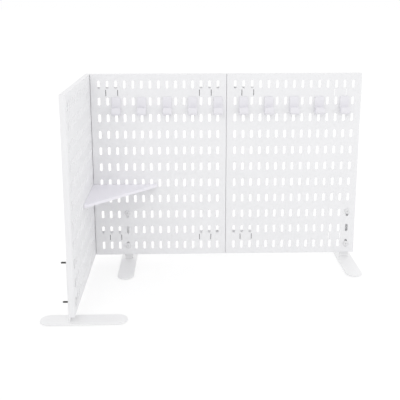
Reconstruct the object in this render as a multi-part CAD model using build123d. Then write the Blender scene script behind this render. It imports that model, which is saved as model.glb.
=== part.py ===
"""Desk divider pegboard: three slotted steel trays in an L on three bolted feet, with hooks and a shelf.

Millimetres. +X runs along the two back panels, +Y points to the back, +Z is up, and Z = 0 is the desk.
While it is built, X = 0 is the side panel's inner face and Y = 0 is the back panels' front face.
At the end the whole moves along X and Y, so that its origin is the middle of its outline on the desk.

Every panel is drawn in a frame of its own, which the things that go on a panel share:
X from its left edge, Y backwards from its face, Z up from its lower edge.
"""

from build123d import *
import os

# Folded panel, the same one three times
PANEL_WIDTH = 320.0
PANEL_HEIGHT = 450.0
PANEL_DEPTH = 12.0
SHEET = 1.2
INNER_BEND_RADIUS = 0.6
RETURN_LIP = 8.0
PANEL_GAP = 0.5

# Wide slots that carry the accessories
SLOT_WIDTH = 6.5
SLOT_LENGTH = 19.5
SLOT_COLUMNS = 15
SLOT_ROWS = 11
COLUMN_PITCH = 20.0
ROW_PITCH = 40.0

# Narrow slots that take the connectors' tabs, in pairs midway between two columns and two rows
JOIN_SLOT_WIDTH = 1.8
JOIN_SLOT_LENGTH = 15.5
JOIN_PAIR_SPACING = 28.0
JOIN_AFTER_COLUMN = 2
JOIN_AFTER_ROWS = (1, 10)

# Slots of the right-hand panel that stay free: a further panel or accessory goes there
FREE_COLUMN = 8
FREE_ROWS = (5, 6)

# Connectors behind the panels
STRAP_HEIGHT = 25.0
STRAP_THICKNESS = 3.0
STRAP_CHAMFER = 4.0
STRAP_TO_FOOT_GAP = 1.25
STRAP_TAB_WIDTH = 1.0
STRAP_TAB_END_CLEARANCE = 0.5
STRAP_TAB_RECESS = 0.6

# Feet
FOOT_WIDTH = 38.0
FOOT_FRONT_REACH = 103.0
FOOT_REAR_REACH = 75.0
FOOT_THICKNESS = 3.0
UPRIGHT_WIDTH = 20.5
UPRIGHT_THICKNESS = 3.0
UPRIGHT_ABOVE_BOLT = 10.0
UPRIGHT_CHAMFER = 5.0
PANEL_ABOVE_FOOT = 15.0
PAD_SIZE = 14.0
PAD_THICKNESS = 1.5
PAD_FROM_END = 22.0
LEFT_FOOT_COLUMN = 4
RIGHT_FOOT_COLUMN = 15
SIDE_FOOT_COLUMN = 1

# Foot bolts, two a foot, spaced about a height just above a row of slots and screwed into the upright
BOLT_DIAMETER = 4.0
BOLT_LENGTH = 27.0
BOLT_HEAD_DIAMETER = 14.5
BOLT_HEAD_HEIGHT = 2.4
THREAD_CLEARANCE = 0.05
BOLT_SPACING = 85.0
BOLT_MIDDLE_ROW = 10
BOLT_RISE = 1.0

# Clearance of everything that lifts out of a slot
SLIP = 0.3
TAB_THICKNESS = 2.0
LIFT_TO_FREE = 1.0

# Hooks
HOOK_WIDTH = 21.0
HOOK_HEIGHT = 42.0
HOOK_WALL = 2.5
HOOK_THROAT = 12.0
HOOK_LIP_HEIGHT = 18.0
HOOK_ABOVE_SLOT = 0.75
HOOK_BEND = 5.0
HOOK_CHAMFER = 2.5
HOOK_LIFT = 7.0
HOOK_ROW = 2
LEFT_HOOK_COLUMNS = (3, 6, 9, 12, 15)
RIGHT_HOOK_COLUMNS = (2, 5, 8, 11, 14)

# Corner shelf
SHELF_PAST_TAB = 14.0
SHELF_NOSE = 3.5
SHELF_NOSE_RADIUS = 1.5
SHELF_DEPTH = 6.5
SHELF_WALL = 2.5
SHELF_TAB_WIDTH = 2.6
SHELF_TAB_DROP = 6.0
SHELF_ROW = 7
SHELF_BACK_COLUMNS = (2, 7)
SHELF_SIDE_COLUMNS = (9, 14)

# Heights and places that follow
FOOT_TOP = PAD_THICKNESS + FOOT_THICKNESS
PANEL_BOTTOM = FOOT_TOP + PANEL_ABOVE_FOOT
BACK_LEFT_X = PANEL_GAP
BACK_RIGHT_X = BACK_LEFT_X + PANEL_WIDTH + PANEL_GAP
SIDE_FRONT_Y = PANEL_DEPTH - PANEL_WIDTH

ALONG_X = (Align.MIN, Align.MIN, Align.CENTER)
FROM_CORNER = (Align.MIN, Align.MIN, Align.MIN)


def column_x(column):
    """Distance of a column of slots from its panel's left edge, column 1 at the left."""
    first = (PANEL_WIDTH - (SLOT_COLUMNS - 1) * COLUMN_PITCH) / 2
    return first + (column - 1) * COLUMN_PITCH


def row_z(row):
    """Height of a row of slots above its panel's lower edge, row 1 at the top."""
    top = (PANEL_HEIGHT + (SLOT_ROWS - 1) * ROW_PITCH) / 2
    return top - (row - 1) * ROW_PITCH


def join_heights():
    """Heights of the upper and the lower row of narrow slots above the panel's lower edge."""
    return [row_z(row) - ROW_PITCH / 2 for row in JOIN_AFTER_ROWS]


def join_offsets():
    """Distances of the two narrow slots of a pair from the side edge that they join."""
    middle = column_x(JOIN_AFTER_COLUMN) + COLUMN_PITCH / 2
    return middle - JOIN_PAIR_SPACING / 2, middle + JOIN_PAIR_SPACING / 2


def strap_reach():
    """Length of a strap past the edge that it joins: it ends just short of the left foot's upright."""
    return column_x(LEFT_FOOT_COLUMN) - UPRIGHT_WIDTH / 2 - STRAP_TO_FOOT_GAP


def bolt_heights():
    """Heights of a foot's two bolts above the panel's lower edge."""
    middle = row_z(BOLT_MIDDLE_ROW) + BOLT_RISE
    return middle - BOLT_SPACING / 2, middle + BOLT_SPACING / 2


def on_back_left(shape):
    """Moves a shape from the panel's own frame to the back left panel."""
    return Pos(BACK_LEFT_X, 0, PANEL_BOTTOM) * shape


def on_back_right(shape):
    """Moves a shape from the panel's own frame to the back right panel."""
    return Pos(BACK_RIGHT_X, 0, PANEL_BOTTOM) * shape


def on_side(shape):
    """Moves a shape from the panel's own frame to the side panel, whose left edge is the front one."""
    return Pos(0, SIDE_FRONT_Y, PANEL_BOTTOM) * Rot(0, 0, 90) * shape


def square_slot(x, z, width, length):
    """Cutter of a slot through the panel's face, with plain ends."""
    return Pos(x, SHEET / 2, z) * Box(width, 2 * SHEET, length)


def round_slot(x, z, width, length):
    """Cutter of a slot through the panel's face, with round ends."""
    outline = Plane.XZ * SlotOverall(length, width, rotation=90)
    return Pos(x, SHEET / 2, z) * extrude(outline, SHEET, both=True)


def wide_slots(free_slots):
    """Cutters of all wide slots; the round ends are cut only at the given (column, row) places."""
    cutters = []
    for column in range(1, SLOT_COLUMNS + 1):
        for row in range(1, SLOT_ROWS + 1):
            slot = round_slot if (column, row) in free_slots else square_slot
            cutters.append(slot(column_x(column), row_z(row), SLOT_WIDTH, SLOT_LENGTH))
    return cutters


def narrow_slots(right_is_free):
    """Cutters of the pairs of narrow slots along both side edges; free ones have round ends."""
    cutters = []
    right_slot = round_slot if right_is_free else square_slot
    for z in join_heights():
        for offset in join_offsets():
            cutters.append(square_slot(offset, z, JOIN_SLOT_WIDTH, JOIN_SLOT_LENGTH))
            cutters.append(right_slot(PANEL_WIDTH - offset, z, JOIN_SLOT_WIDTH, JOIN_SLOT_LENGTH))
    return cutters


def folded_tray():
    """Tray without its slots: the face, four flanges turned back and a lip turned in all round."""
    tray = Box(PANEL_WIDTH, PANEL_DEPTH, PANEL_HEIGHT, align=FROM_CORNER)
    tray = fillet(tray.edges().group_by(Axis.Y)[0], INNER_BEND_RADIUS + SHEET)
    inside = [size - 2 * SHEET for size in (PANEL_WIDTH, PANEL_DEPTH, PANEL_HEIGHT)]
    hollow = Box(*inside, align=FROM_CORNER)
    hollow = fillet(hollow.edges().group_by(Axis.Y)[0], INNER_BEND_RADIUS)
    mouth = Box(PANEL_WIDTH - 2 * RETURN_LIP, PANEL_DEPTH, PANEL_HEIGHT - 2 * RETURN_LIP, align=FROM_CORNER)
    mouth = Pos(RETURN_LIP, PANEL_DEPTH / 2, RETURN_LIP) * mouth
    return tray - Pos(SHEET, SHEET, SHEET) * hollow - mouth


def panel(right_is_free=False):
    """One slotted tray in its own frame."""
    free_slots = [(FREE_COLUMN, row) for row in FREE_ROWS] if right_is_free else []
    return folded_tray() - (wide_slots(free_slots) + narrow_slots(right_is_free))


def strap(x_from, x_to, z):
    """Flat strap on the rear of a panel, centred on the height z."""
    return Pos(x_from, PANEL_DEPTH, z) * Box(x_to - x_from, STRAP_THICKNESS, STRAP_HEIGHT, align=ALONG_X)


def strap_tabs(offsets, z):
    """Tabs that reach forward from a strap into narrow slots, just short of the panel's face."""
    depth = PANEL_DEPTH - STRAP_TAB_RECESS
    height = JOIN_SLOT_LENGTH - 2 * STRAP_TAB_END_CLEARANCE
    tab = Box(STRAP_TAB_WIDTH, depth, height, align=(Align.CENTER, Align.MIN, Align.CENTER))
    return [Pos(x, STRAP_TAB_RECESS, z) * tab for x in offsets]


def seam_connector(z):
    """Straight strap across the seam of the two back panels."""
    near, far = join_offsets()
    second_edge = PANEL_WIDTH + PANEL_GAP
    plate = strap(PANEL_WIDTH - strap_reach(), second_edge + strap_reach(), z)
    plate = chamfer(plate.edges().filter_by(Axis.Y), STRAP_CHAMFER)
    places = (PANEL_WIDTH - far, PANEL_WIDTH - near, second_edge + near, second_edge + far)
    return on_back_left(plate + strap_tabs(places, z))


def corner_connector(z):
    """Strap bent round the outside of the corner, with a leg on the back left and on the side panel."""
    near, far = join_offsets()
    past_corner = PANEL_GAP + PANEL_DEPTH + STRAP_THICKNESS
    back_leg = on_back_left(strap(-past_corner, strap_reach(), z))
    back_leg = chamfer(back_leg.edges().filter_by(Axis.Y).group_by(Axis.X)[-1], STRAP_CHAMFER)
    side_leg = on_side(strap(PANEL_WIDTH - strap_reach(), PANEL_WIDTH + STRAP_THICKNESS, z))
    side_leg = chamfer(side_leg.edges().filter_by(Axis.X).group_by(Axis.Y)[0], STRAP_CHAMFER)
    plate = back_leg + side_leg
    bend = plate.edges().filter_by(Axis.Z).group_by(Axis.Y)[-1].sort_by(Axis.X)[0]
    plate = fillet(bend, STRAP_THICKNESS)
    back_tabs = [on_back_left(tab) for tab in strap_tabs((near, far), z)]
    side_tabs = [on_side(tab) for tab in strap_tabs((PANEL_WIDTH - far, PANEL_WIDTH - near), z)]
    return plate + back_tabs + side_tabs


def foot_base():
    """Round-ended plate that lies across the panel, along Y, with the panel's face at Y = 0."""
    plate = extrude(SlotOverall(FOOT_FRONT_REACH + FOOT_REAR_REACH, FOOT_WIDTH, rotation=90), FOOT_THICKNESS)
    return Pos(0, (FOOT_REAR_REACH - FOOT_FRONT_REACH) / 2, PAD_THICKNESS) * plate


def foot_upright():
    """Strip that stands on the foot's plate behind the panel, with a hole for each bolt."""
    height = PANEL_BOTTOM + bolt_heights()[1] + UPRIGHT_ABOVE_BOLT - FOOT_TOP
    outline = Pos(0, FOOT_TOP) * Rectangle(UPRIGHT_WIDTH, height, align=(Align.CENTER, Align.MIN))
    outline = chamfer(outline.vertices().group_by(Axis.Y)[-1], UPRIGHT_CHAMFER)
    hole = Circle(BOLT_DIAMETER / 2 + THREAD_CLEARANCE)
    outline -= [Pos(0, PANEL_BOTTOM + z) * hole for z in bolt_heights()]
    return Pos(0, PANEL_DEPTH, 0) * extrude(Plane.XZ * outline, -UPRIGHT_THICKNESS)


def foot_pads():
    """The two pads under a foot's plate."""
    pad = Box(PAD_SIZE, PAD_SIZE, PAD_THICKNESS, align=(Align.CENTER, Align.CENTER, Align.MIN))
    places = (PAD_FROM_END - FOOT_FRONT_REACH, FOOT_REAR_REACH - PAD_FROM_END)
    return Compound([Pos(0, y, 0) * pad for y in places])


def bolt():
    """Wide-headed bolt along Y, with its head seated on the panel's face."""
    head = extrude(Plane.XZ * Circle(BOLT_HEAD_DIAMETER / 2), BOLT_HEAD_HEIGHT)
    return head + extrude(Plane.XZ * Circle(BOLT_DIAMETER / 2), -BOLT_LENGTH)


def foot_places():
    """Where each foot stands; its own frame has the panel's face at Y = 0 and its middle at X = 0."""
    return {
        "left": Pos(BACK_LEFT_X + column_x(LEFT_FOOT_COLUMN), 0, 0),
        "right": Pos(BACK_RIGHT_X + column_x(RIGHT_FOOT_COLUMN), 0, 0),
        "side": Pos(0, SIDE_FRONT_Y + column_x(SIDE_FOOT_COLUMN), 0) * Rot(0, 0, 90),
    }


def feet():
    """The plate, upright and pads of each of the three feet, and all of their bolts."""
    shapes = {}
    bolts = []
    for name, place in foot_places().items():
        shapes[f"{name}_foot_base"] = place * foot_base()
        shapes[f"{name}_foot_upright"] = place * foot_upright()
        shapes[f"{name}_foot_pads"] = place * foot_pads()
        bolts += [place * Pos(0, 0, PANEL_BOTTOM + z) * bolt() for z in bolt_heights()]
    shapes["foot_bolts"] = Compound(bolts)
    return shapes


def in_slot(column, row, shape):
    """Moves a shape that starts at a slot's lower end to one wide slot of the panel's own frame."""
    return Pos(column_x(column), 0, row_z(row) - SLOT_LENGTH / 2) * shape


def slot_tab(width, height, drop):
    """Tab from SLIP before the face through a slot, with a finger that drops behind the sheet."""
    finger_front = SHEET + SLIP
    finger_back = finger_front + TAB_THICKNESS
    outline = Polyline(
        (-SLIP, SLIP),
        (finger_front, SLIP),
        (finger_front, SLIP - drop),
        (finger_back, SLIP - drop),
        (finger_back, SLIP + height),
        (-SLIP, SLIP + height),
        close=True,
    )
    return extrude(Plane.YZ * make_face(outline), width / 2, both=True)


def hook():
    """Wide J-shaped hook, with its slot's lower end at the origin."""
    top = SLOT_LENGTH + HOOK_ABOVE_SLOT
    bottom = top - HOOK_HEIGHT
    back = -SLIP
    front = back - 2 * HOOK_WALL - HOOK_THROAT
    outside = Polyline(
        (back, top),
        (back, bottom + HOOK_BEND),
        (back - HOOK_BEND, bottom),
        (front + HOOK_BEND, bottom),
        (front, bottom + HOOK_BEND),
        (front, bottom + HOOK_LIP_HEIGHT),
    )
    section = make_face(offset(outside, HOOK_WALL, kind=Kind.INTERSECTION, side=Side.RIGHT))
    body = extrude(Plane.YZ * section, HOOK_WIDTH / 2, both=True)
    ends = body.edges().filter_by(Axis.Y).group_by(Axis.Z)
    body = chamfer(ends[-1] + ends[-2], HOOK_CHAMFER)
    neck_height = SLOT_LENGTH - 2 * SLIP - HOOK_LIFT
    return body + slot_tab(SLOT_WIDTH - 2 * SLIP, neck_height, HOOK_LIFT - LIFT_TO_FREE)


def hooks():
    """The ten hooks, numbered from the left."""
    left = [on_back_left(in_slot(column, HOOK_ROW, hook())) for column in LEFT_HOOK_COLUMNS]
    right = [on_back_right(in_slot(column, HOOK_ROW, hook())) for column in RIGHT_HOOK_COLUMNS]
    return {f"hook_{number}": shape for number, shape in enumerate(left + right, start=1)}


def shelf_reach():
    """Length of the shelf along a panel: it ends a little past the middle of its outer tab's column."""
    return column_x(SHELF_BACK_COLUMNS[-1]) + SHELF_PAST_TAB


def shelf_outline():
    """The shelf from above: a right triangle in the corner, with both of its points cut off."""
    reach = shelf_reach()
    points = ((0, 0), (reach, 0), (reach, -SHELF_NOSE), (SHELF_NOSE, -reach), (0, -reach))
    outline = make_face(Polyline(*points, close=True))
    blunt = [vertex for vertex in outline.vertices() if vertex.X > 0 and vertex.Y < 0]
    return fillet(blunt, SHELF_NOSE_RADIUS)


def corner_shelf():
    """Triangular shelf, hollow below, hung by two tabs in each of the two panels at the corner."""
    outline = shelf_outline()
    pocket = extrude(offset(outline, -SHELF_WALL), SHELF_DEPTH - SHELF_WALL)
    bottom = PANEL_BOTTOM + row_z(SHELF_ROW) - SLOT_LENGTH / 2 + SLIP
    body = Pos(SLIP, -SLIP, bottom) * (extrude(outline, SHELF_DEPTH) - pocket)
    tab = slot_tab(SHELF_TAB_WIDTH, SHELF_DEPTH, SHELF_TAB_DROP)
    back_tabs = [on_back_left(in_slot(column, SHELF_ROW, tab)) for column in SHELF_BACK_COLUMNS]
    side_tabs = [on_side(in_slot(column, SHELF_ROW, tab)) for column in SHELF_SIDE_COLUMNS]
    return body + back_tabs + side_tabs


def connectors():
    """The four connectors, by height and place."""
    top, bottom = join_heights()
    return {
        "top_seam_connector": seam_connector(top),
        "bottom_seam_connector": seam_connector(bottom),
        "top_corner_connector": corner_connector(top),
        "bottom_corner_connector": corner_connector(bottom),
    }


def panels():
    """The three panels; nothing is joined to the right edge of the back right one."""
    joined = panel()
    return {
        "side_panel": on_side(joined),
        "back_left_panel": on_back_left(joined),
        "back_right_panel": on_back_right(panel(right_is_free=True)),
    }


def pieces():
    """Every piece by name, in the frame that the object is built in."""
    return panels() | connectors() | feet() | hooks() | {"corner_shelf": corner_shelf()}


def to_origin(shapes):
    """Where the whole moves, so that its origin is the middle of its outline on the desk."""
    box = Compound(list(shapes)).bounding_box()
    return Pos(-box.center().X, -box.center().Y, -box.min.Z)


def main():
    """Builds every piece and writes one STEP file for each."""
    os.makedirs("parts", exist_ok=True)
    shapes = pieces()
    place = to_origin(shapes.values())
    for name, shape in shapes.items():
        export_step(place * shape, f"parts/{name}.step")


main()
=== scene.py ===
"""Looks of the desk divider pegboard: slotted steel trays, feet, bolts, connectors, hooks and a shelf.

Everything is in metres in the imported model's frame: +X along the back panels, +Y to the back, +Z up.
A panel also has a frame of its own, which all that goes on it shares: X from its left edge, Y backwards
from its face, Z up from its lower edge.
"""

import logging
import math
from collections.abc import Iterable, Sequence
from dataclasses import dataclass
from enum import Enum
from typing import Any

import bmesh
import bpy
from mathutils import Matrix, Vector

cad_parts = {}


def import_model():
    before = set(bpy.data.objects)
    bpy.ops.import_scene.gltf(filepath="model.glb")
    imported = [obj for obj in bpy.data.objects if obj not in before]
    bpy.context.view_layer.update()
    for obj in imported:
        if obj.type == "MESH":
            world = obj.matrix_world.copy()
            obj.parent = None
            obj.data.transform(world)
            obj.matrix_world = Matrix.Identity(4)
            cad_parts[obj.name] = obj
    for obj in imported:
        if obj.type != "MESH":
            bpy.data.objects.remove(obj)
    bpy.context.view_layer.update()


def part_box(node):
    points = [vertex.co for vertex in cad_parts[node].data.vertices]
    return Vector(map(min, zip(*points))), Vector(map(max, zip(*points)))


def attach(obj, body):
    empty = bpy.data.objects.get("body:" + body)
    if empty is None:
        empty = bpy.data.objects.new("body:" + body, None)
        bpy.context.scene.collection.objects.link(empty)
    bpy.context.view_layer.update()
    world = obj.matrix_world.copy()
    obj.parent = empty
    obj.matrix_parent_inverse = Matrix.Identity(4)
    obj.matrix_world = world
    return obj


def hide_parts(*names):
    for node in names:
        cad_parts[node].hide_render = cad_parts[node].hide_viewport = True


log = logging.getLogger("divider")

Loop = list[Vector]
Colour = tuple[float, float, float]
Corners = Sequence[tuple[float, float, float]]
Socket = bpy.types.NodeSocket

WELD_DISTANCE = 2e-6
SMOOTH_BELOW = math.radians(32)

# Where a softened edge has its middle loop, as a share of the edge's radius.
EDGE_STEP = 0.3

# Swaps X and Z: a strip's path along X then climbs, and its width runs along X.
STAND_UP = Matrix(((0, 0, 1, 0), (0, 1, 0, 0), (1, 0, 0, 0), (0, 0, 0, 1)))


class Grain(Enum):
    """How a finish feels under a finger."""

    ORANGE_PEEL = "orange peel"
    FINE_SPARK = "fine spark"
    ROLLED = "rolled"
    CAST = "cast"


class Corner(Enum):
    """How the corners at the ends of a flat strip are cut."""

    ROUND = "round"
    CLIPPED = "clipped"


def stand(name: str, data: bpy.types.ID) -> bpy.types.Object:
    """Puts a new object into the scene.

    Args:
        name: Its name.
        data: Its mesh, lamp or camera.

    Returns:
        The object.
    """
    made = bpy.data.objects.new(name, data)
    bpy.context.scene.collection.objects.link(made)
    return made


class Bench:
    """A node tree of any kind, as it is put together."""

    def __init__(self, group: bpy.types.NodeTree) -> None:
        """Starts on a tree, which may hold nodes already."""
        self.group = group

    def fit(self, node: bpy.types.Node, inputs: dict[Any, Any]) -> None:
        """Sets a node's inputs.

        Args:
            node: The node.
            inputs: A value, a socket or a list of sockets for each input, by name or number.
        """
        for key, value in inputs.items():
            for item in value if isinstance(value, list) else [value]:
                if isinstance(item, Socket):
                    self.group.links.new(item, node.inputs[key])
                else:
                    node.inputs[key].default_value = item

    def add(self, kind: str, inputs: dict[Any, Any], output: Any = 0, **settings: Any) -> Socket:
        """Adds a node.

        Args:
            kind: The node's type.
            inputs: What goes into it, as fit() takes it.
            output: Name or number of the output that is wanted.
            **settings: The node's own properties.

        Returns:
            The wanted output.
        """
        node = self.group.nodes.new(kind)
        for setting, value in settings.items():
            setattr(node, setting, value)
        self.fit(node, inputs)
        return node.outputs[output]

    def math(self, operation: str, *terms: Any) -> Socket:
        """Adds a sum of values or sockets and gives its result."""
        return self.add("ShaderNodeMath", dict(enumerate(terms)), operation=operation)


@dataclass(frozen=True)
class Finish:
    """A painted, moulded or plated surface, made of nodes that read Object coordinates."""

    name: str
    slot: str
    colour: Colour
    second_colour: Colour
    roughness: float
    grain: Grain
    grain_size: float
    grain_depth: float
    metallic: float = 0.0
    cloud_scale: float = 14.0
    speck_share: float = 0.35
    gloss_spread: float = 0.06
    bump: float = 0.6

    def material(self) -> bpy.types.Material:
        """Builds the material, or gives it back if it is built already.

        Returns:
            The material, with cloudy colour, uneven gloss and a grain in its normals.
        """
        made = bpy.data.materials.get(self.name)
        if made:
            return made
        made = bpy.data.materials.new(self.name)
        made.use_nodes = True
        made.diffuse_color = (*self.colour, 1.0)
        bench = Bench(made.node_tree)
        place = bench.add("ShaderNodeTexCoord", {}, "Object")
        cloud, speck = (
            bench.add("ShaderNodeTexNoise", {"Vector": place, "Scale": scale, "Detail": detail}, "Fac")
            for scale, detail in ((self.cloud_scale, 3.0), (0.6 / self.grain_size, 1.0))
        )
        blend = bench.math("MULTIPLY_ADD", speck, self.speck_share, cloud)
        tint = bench.add("ShaderNodeValToRGB", {"Fac": blend}, "Color")
        stops = ((0.42, self.second_colour), (0.88, self.colour))
        for stop, (position, colour) in zip(tint.node.color_ramp.elements, stops):
            stop.position = position
            stop.color = (*colour, 1.0)
        gloss = bench.add("ShaderNodeMapRange", {
            "Value": speck, "From Min": 0.3, "From Max": 0.7,
            "To Min": self.roughness - self.gloss_spread, "To Max": self.roughness + self.gloss_spread,
        }, "Result")
        height = self.relief(bench, place)
        dent = {"Strength": self.bump, "Distance": self.grain_depth, "Height": height}
        bump = bench.add("ShaderNodeBump", dent, "Normal")
        bench.fit(made.node_tree.nodes["Principled BSDF"], {
            "Metallic": self.metallic, "Base Color": tint, "Roughness": gloss, "Normal": bump,
        })
        return made

    def relief(self, bench: Bench, place: Socket) -> Socket:
        """Adds the texture whose height is the finish's grain.

        Args:
            bench: The material's nodes.
            place: The socket that gives Object coordinates.

        Returns:
            The socket that carries the height.
        """
        scale = 1.0 / self.grain_size
        if self.grain is Grain.FINE_SPARK:
            cells = {"Vector": place, "Scale": scale, "Smoothness": 0.7}
            return bench.add("ShaderNodeTexVoronoi", cells, "Distance", feature="SMOOTH_F1")
        if self.grain is Grain.ROLLED:
            place = bench.add("ShaderNodeMapping", {"Vector": place, "Scale": (1.0, 1.0, 0.12)})
        detail, roughness = (4.0, 0.65) if self.grain is Grain.CAST else (1.5, 0.4)
        noise = {"Vector": place, "Scale": scale, "Detail": detail, "Roughness": roughness}
        return bench.add("ShaderNodeTexNoise", noise, "Fac")


PANEL_WHITE = Finish(
    "white_powder_coat", "panel_paint", (0.85, 0.85, 0.862), (0.832, 0.832, 0.846), 0.48,
    Grain.ORANGE_PEEL, 0.0011, 0.00003,
)
FOOT_WHITE = Finish(
    "white_foot_coat", "foot_paint", (0.89, 0.89, 0.895), (0.872, 0.872, 0.88), 0.46,
    Grain.ORANGE_PEEL, 0.0013, 0.00004,
)
CONNECTOR_WHITE = Finish(
    "white_connector_coat", "connector_paint", (0.91, 0.91, 0.92), (0.89, 0.89, 0.90), 0.5,
    Grain.ORANGE_PEEL, 0.0008, 0.00003,
)
# Painted shade: dark grey on the tabs' front ends, which stands in for the shade inside the narrow slots.
TAB_END_PAINTED_SHADE = Finish(
    "tab_end_painted_shade", "connector_paint", (0.15, 0.15, 0.155), (0.12, 0.12, 0.125), 0.6,
    Grain.ROLLED, 0.0007, 0.00001,
)
BOLT_WHITE = Finish(
    "white_bolt_head", "bolt_paint", (0.78, 0.78, 0.79), (0.74, 0.74, 0.75), 0.35,
    Grain.ORANGE_PEEL, 0.0009, 0.00001,
)
THREAD_DARK = Finish(
    "blackened_steel", "bolt_paint", (0.085, 0.083, 0.08), (0.13, 0.125, 0.12), 0.38,
    Grain.ROLLED, 0.0006, 0.00001, metallic=0.85,
)
PAD_BLACK = Finish(
    "black_rubber", "pad_rubber", (0.022, 0.022, 0.023), (0.035, 0.035, 0.036), 0.85,
    Grain.CAST, 0.0008, 0.00006,
)
HOOK_WHITE = Finish(
    "white_hook_plastic", "hook_plastic", (0.815, 0.805, 0.845), (0.80, 0.79, 0.83), 0.42,
    Grain.FINE_SPARK, 0.0006, 0.00002,
)
SHELF_WHITE = Finish(
    "white_shelf_plastic", "shelf_plastic", (0.875, 0.86, 0.91), (0.855, 0.84, 0.895), 0.45,
    Grain.FINE_SPARK, 0.0008, 0.00003,
)


class Tree(Bench):
    """A Geometry Nodes tree with a named input for each of its sizes and one for its material."""

    def __init__(self, name: str, sizes: dict[str, float]) -> None:
        """Starts an empty tree.

        Args:
            name: The tree's name.
            sizes: Name and value of each size.
        """
        super().__init__(bpy.data.node_groups.new(name, "GeometryNodeTree"))
        self.values = sizes
        self.start = self.group.nodes.new("NodeGroupInput")
        self.end = self.group.nodes.new("NodeGroupOutput")
        self.group.interface.new_socket("Geometry", in_out="OUTPUT", socket_type="NodeSocketGeometry")
        for size, value in sizes.items():
            self.entry(size, "NodeSocketInt" if isinstance(value, int) else "NodeSocketFloat")
        self.sizes = [self.start.outputs[size] for size in sizes]

    def entry(self, name: str, kind: str) -> Socket:
        """Adds a named input of a kind, and gives the socket that carries its value inside the tree."""
        self.group.interface.new_socket(name, in_out="INPUT", socket_type=kind)
        return self.start.outputs[name]

    def position(self) -> Sequence[Socket]:
        """Adds the X, Y and Z of each point's place."""
        place = self.add("GeometryNodeInputPosition", {})
        return self.add("ShaderNodeSeparateXYZ", {0: place}).node.outputs

    def close(self, geometry: Socket) -> None:
        """Ends the tree with the material.

        Args:
            geometry: What the tree has made.
        """
        material = self.entry("Material", "NodeSocketMaterial")
        real = self.add("GeometryNodeRealizeInstances", {"Geometry": geometry})
        welded = self.add("GeometryNodeMergeByDistance", {"Geometry": real, "Distance": WELD_DISTANCE})
        dressed = self.add("GeometryNodeSetMaterial", {"Geometry": welded, "Material": material})
        self.group.links.new(dressed, self.end.inputs[0])

    def grow(self, material: bpy.types.Material) -> bpy.types.Mesh:
        """Runs the tree.

        Args:
            material: What its faces get.

        Returns:
            The result as a plain mesh.
        """
        holder = stand(self.group.name, bpy.data.meshes.new(self.group.name))
        modifier = holder.modifiers.new(self.group.name, "NODES")
        modifier.node_group = self.group
        values = {**self.values, "Material": material}
        for item in self.group.interface.items_tree:
            if item.in_out == "INPUT":
                modifier[item.identifier] = values[item.name]
        evaluated = holder.evaluated_get(bpy.context.evaluated_depsgraph_get())
        mesh = bpy.data.meshes.new_from_object(evaluated)
        bpy.data.objects.remove(holder)
        return mesh


class Workpiece:
    """One piece's mesh while it is being made out of lofted skins."""

    def __init__(self, name: str) -> None:
        """Starts an empty piece.

        Args:
            name: The finished object's name.
        """
        self.name = name
        self.mesh = bmesh.new()
        self.finishes: list[Finish] = []

    def finish_index(self, finish: Finish) -> int:
        """Looks a finish up among this piece's, and adds it if it is new.

        Args:
            finish: The finish.

        Returns:
            Its number on this piece.
        """
        if finish not in self.finishes:
            self.finishes.append(finish)
        return self.finishes.index(finish)

    def cover(self, faces: Iterable[Sequence[bmesh.types.BMVert]], finish: Finish) -> None:
        """Adds faces.

        Args:
            faces: The points of each face, which are on the piece already.
            finish: The faces' finish.
        """
        number = self.finish_index(finish)
        for face in faces:
            self.mesh.faces.new(face).material_index = number

    def loft(self, loops: Sequence[Loop], finish: Finish, place: Matrix, capped: bool = True) -> None:
        """Stretches a skin over closed loops that all have the same number of points.

        Args:
            loops: The loops, in order.
            finish: The skin's finish.
            place: Where the skin goes.
            capped: Whether the first and the last loop are closed.
        """
        rings = [[self.mesh.verts.new(place @ point) for point in loop] for loop in loops]
        faces = [
            (ring[index], ring[index + 1], following[index + 1], following[index])
            for ring, following in zip(rings, rings[1:])
            for index in range(-len(ring), 0)
        ]
        if capped:
            faces += [rings[0][::-1], rings[-1]]
        self.cover(faces, finish)

    def grow(self, tree: Tree, finish: Finish, place: Matrix) -> None:
        """Adds what a tree makes.

        Args:
            tree: The tree.
            finish: The finish that it gets.
            place: Where it goes.
        """
        number = self.finish_index(finish)
        before = len(self.mesh.faces)
        mesh = tree.grow(finish.material())
        mesh.transform(place)
        self.mesh.from_mesh(mesh)
        self.mesh.faces.ensure_lookup_table()
        for face in self.mesh.faces[before:]:
            face.material_index = number
        bpy.data.meshes.remove(mesh)

    def finished(self, body: str, node: str) -> None:
        """Turns the work into an object, at the origin and unscaled, that stands for a CAD node.

        Args:
            body: The body that it rides on.
            node: The node that it stands for.
        """
        bmesh.ops.remove_doubles(self.mesh, verts=self.mesh.verts, dist=WELD_DISTANCE)
        bmesh.ops.recalc_face_normals(self.mesh, faces=self.mesh.faces)
        data = bpy.data.meshes.new(self.name)
        self.mesh.to_mesh(data)
        self.mesh.free()
        for finish in self.finishes:
            data.materials.append(finish.material())
        data.polygons.foreach_set("use_smooth", [True] * len(data.polygons))
        data.set_sharp_from_angle(angle=SMOOTH_BELOW)
        made = stand(self.name, data)
        level = made.modifiers.new("even_shading", "WEIGHTED_NORMAL")
        level.keep_sharp = True
        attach(made, body)
        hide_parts(node)
        log.info("%s: %d faces on %s", self.name, len(data.polygons), body)


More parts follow.
